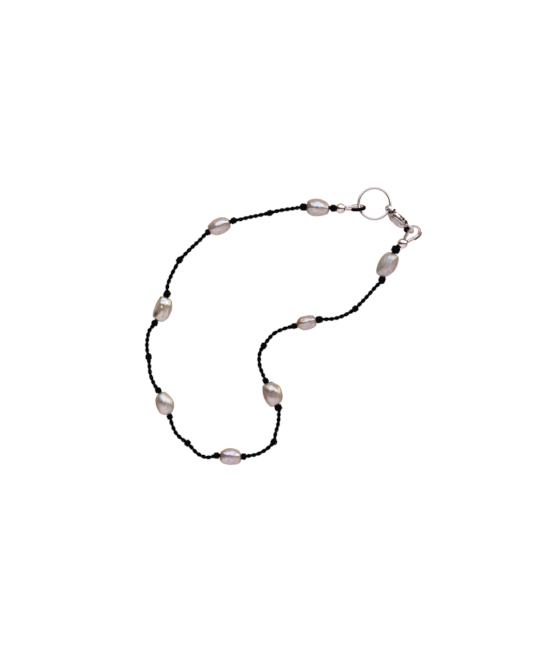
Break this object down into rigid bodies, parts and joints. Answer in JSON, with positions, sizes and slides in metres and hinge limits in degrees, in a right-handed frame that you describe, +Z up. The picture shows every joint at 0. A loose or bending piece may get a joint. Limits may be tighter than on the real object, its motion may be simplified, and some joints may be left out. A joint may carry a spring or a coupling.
{
  "type": "anklet",
  "caption": "Fastened anklet of knotted black thread with baroque pearls, silver wire guardians, a jump ring and a lobster clasp.",
  "frame": {"origin": "middle of the footprint, on the surface that the anklet lies on", "axes": "+Z up; +Y towards the jump ring and the clasp; +X towards the clasp's side"},
  "size_m": [0.0816, 0.0816, 0.0054],
  "materials": {
    "nacre": "pearl lustre, satin to glossy, faint pink and blue overtones",
    "black_thread": "two-ply twisted black silk-type thread, slightly waxed",
    "sterling_silver": "polished sterling silver with light wear"
  },
  "bodies": {
    "anklet": {"pearl_1": "nacre", "pearl_2": "nacre", "pearl_3": "nacre", "pearl_4": "nacre", "pearl_5": "nacre", "pearl_6": "nacre", "pearl_7": "nacre", "pearl_8": "nacre", "thread_1": "black_thread", "thread_2": "black_thread", "thread_3": "black_thread", "thread_4": "black_thread", "thread_5": "black_thread", "thread_6": "black_thread", "thread_7": "black_thread", "thread_ring_end": "black_thread", "thread_clasp_end": "black_thread", "ball_ring_end": "sterling_silver", "ball_clasp_end": "sterling_silver", "guardian_ring_end": "sterling_silver", "guardian_clasp_end": "sterling_silver", "jump_ring": "sterling_silver", "clasp_claw": "sterling_silver", "clasp_pin": "sterling_silver"},
    "lever": {"clasp_lever": "sterling_silver"}
  },
  "joints": [
    {"name": "clasp_lever_hinge", "type": "hinge", "parent": "anklet", "child": "lever", "pos_m": [0.03563, 0.03095, 0.0035], "axis": [-0.6189, -0.6298, 0.4695], "range_deg": [0, 24], "stiffness_Nm_per_rad": 0.005, "springref_deg": -11.46}
  ]
}
